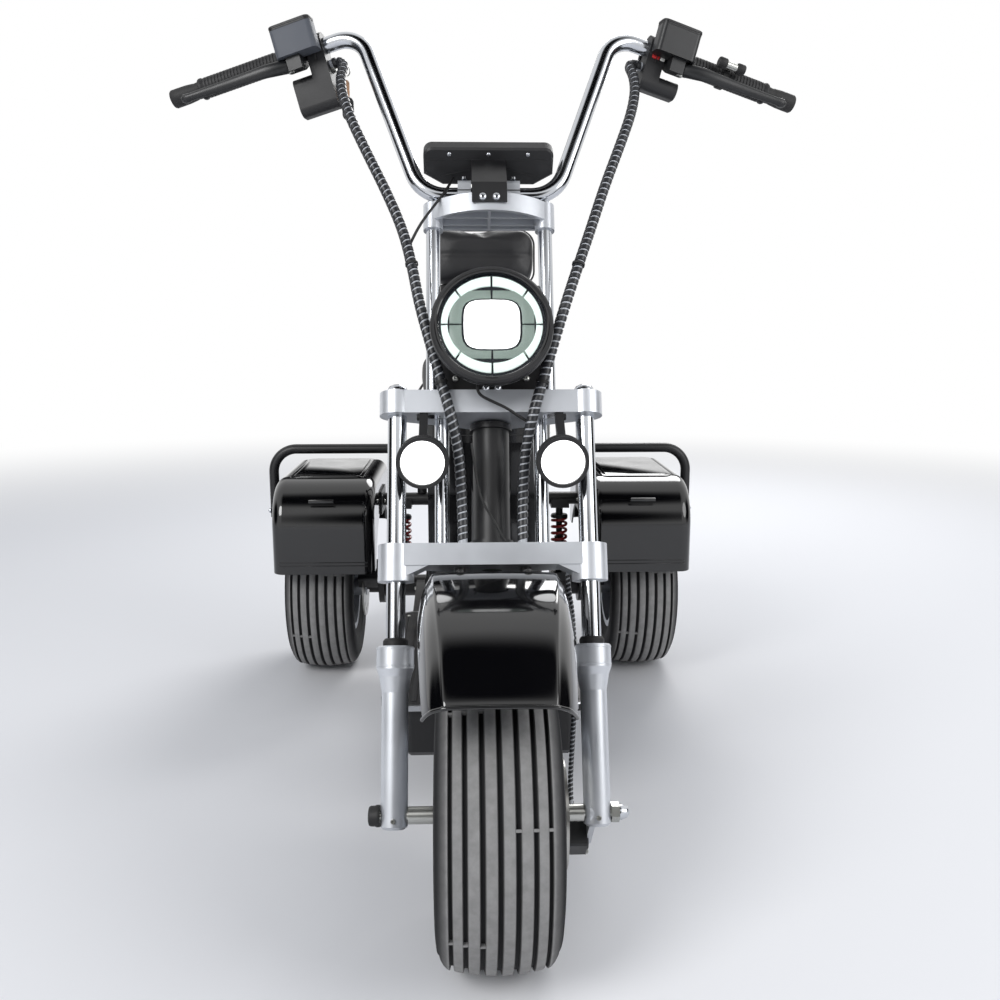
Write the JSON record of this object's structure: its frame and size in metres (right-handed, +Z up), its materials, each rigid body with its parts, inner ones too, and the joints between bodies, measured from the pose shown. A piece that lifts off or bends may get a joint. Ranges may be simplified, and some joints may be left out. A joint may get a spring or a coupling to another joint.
{
  "type": "electric tricycle",
  "caption": "Chopper-style electric tricycle with a raked chrome fork, high handlebar, round headlight, step-through deck, saddle with backrest and fat tyres.",
  "frame": {"origin": "on the ground under the middle of the overall length and width", "axes": "+Z up, -Y the way the vehicle drives, +X its left side"},
  "size_m": [1.0738, 1.6729, 1.3564],
  "materials": {
    "alloy_rim": "satin",
    "black_alloy": "satin",
    "black_rubber": "matte",
    "black_steel": "satin",
    "chrome_tube": "polished",
    "clear_lens": "clear",
    "deck_mat": "ribbed",
    "disc_steel": "ground",
    "gloss_black_plastic": "gloss",
    "matte_black_plastic": "matte",
    "red_lens": "gloss",
    "seat_leather": "grained",
    "shock_spring": "gloss",
    "silver_casting": "satin",
    "tyre_rubber": "ribbed",
    "zinc_steel": "zinc plated"
  },
  "bodies": {
    "chassis": {"backrest_cushion": "seat_leather", "backrest_frame": "black_steel", "battery_tray": "black_steel", "body_housing": "gloss_black_plastic", "footboard": "deck_mat", "frame_backbone": "black_steel", "grab_bar_left": "black_steel", "grab_bar_right": "black_steel", "motor": "black_alloy", "plate_bracket": "black_steel", "rear_axle_beam": "black_steel", "rear_fender_left": "gloss_black_plastic", "rear_fender_right": "gloss_black_plastic", "rear_left_caliper": "black_steel", "rear_right_caliper": "black_steel", "rear_subframe": "black_steel", "saddle_cushion": "seat_leather", "seat_pan": "matte_black_plastic", "shock_absorbers": "shock_spring", "tail_lamps": "red_lens", "trailing_arms": "black_steel"},
    "steering": {"fork_slider_left": "silver_casting", "fork_slider_right": "silver_casting", "fork_stanchions": "chrome_tube", "fork_dust_seals": "black_rubber", "lower_clamp": "silver_casting", "middle_clamp": "silver_casting", "top_clamp": "silver_casting", "fork_thin_tubes": "chrome_tube", "steering_stem": "black_steel", "front_axle": "zinc_steel", "front_caliper": "black_steel", "front_fender": "gloss_black_plastic", "headlight_shell": "matte_black_plastic", "headlight_lens": "clear_lens", "headlight_bracket": "black_steel", "spot_lamps": "matte_black_plastic", "spot_lenses": "clear_lens", "handlebar": "chrome_tube", "bar_risers": "silver_casting", "display_case": "matte_black_plastic", "display_bracket": "black_steel", "grips": "black_rubber", "bar_end_caps": "black_rubber", "switch_pods": "matte_black_plastic", "brake_perches": "black_alloy", "brake_levers": "black_alloy", "cable_bundle_left": "black_rubber", "cable_bundle_right": "black_rubber", "front_brake_hose": "black_rubber"},
    "front_wheel": {"front_tyre": "tyre_rubber", "front_rim": "alloy_rim", "front_brake_disc": "disc_steel"},
    "rear_wheel_left": {"rear_left_tyre": "tyre_rubber", "rear_left_rim": "alloy_rim", "rear_left_brake_disc": "disc_steel"},
    "rear_wheel_right": {"rear_right_tyre": "tyre_rubber", "rear_right_rim": "alloy_rim", "rear_right_brake_disc": "disc_steel"}
  },
  "joints": [
    {"name": "steering_turn", "type": "hinge", "parent": "chassis", "child": "steering", "pos_m": [0, -0.41309, 0.62841], "axis": [0, 0.3746, 0.9272], "range_deg": [-35, 35]},
    {"name": "front_wheel_spin", "type": "hinge", "parent": "steering", "child": "front_wheel", "pos_m": [0, -0.6335, 0.203], "axis": [1, 0, 0], "continuous": true},
    {"name": "rear_left_spin", "type": "hinge", "parent": "chassis", "child": "rear_wheel_left", "pos_m": [0.395, 0.5665, 0.203], "axis": [1, 0, 0], "continuous": true},
    {"name": "rear_right_spin", "type": "hinge", "parent": "chassis", "child": "rear_wheel_right", "pos_m": [-0.395, 0.5665, 0.203], "axis": [1, 0, 0], "continuous": true}
  ]
}
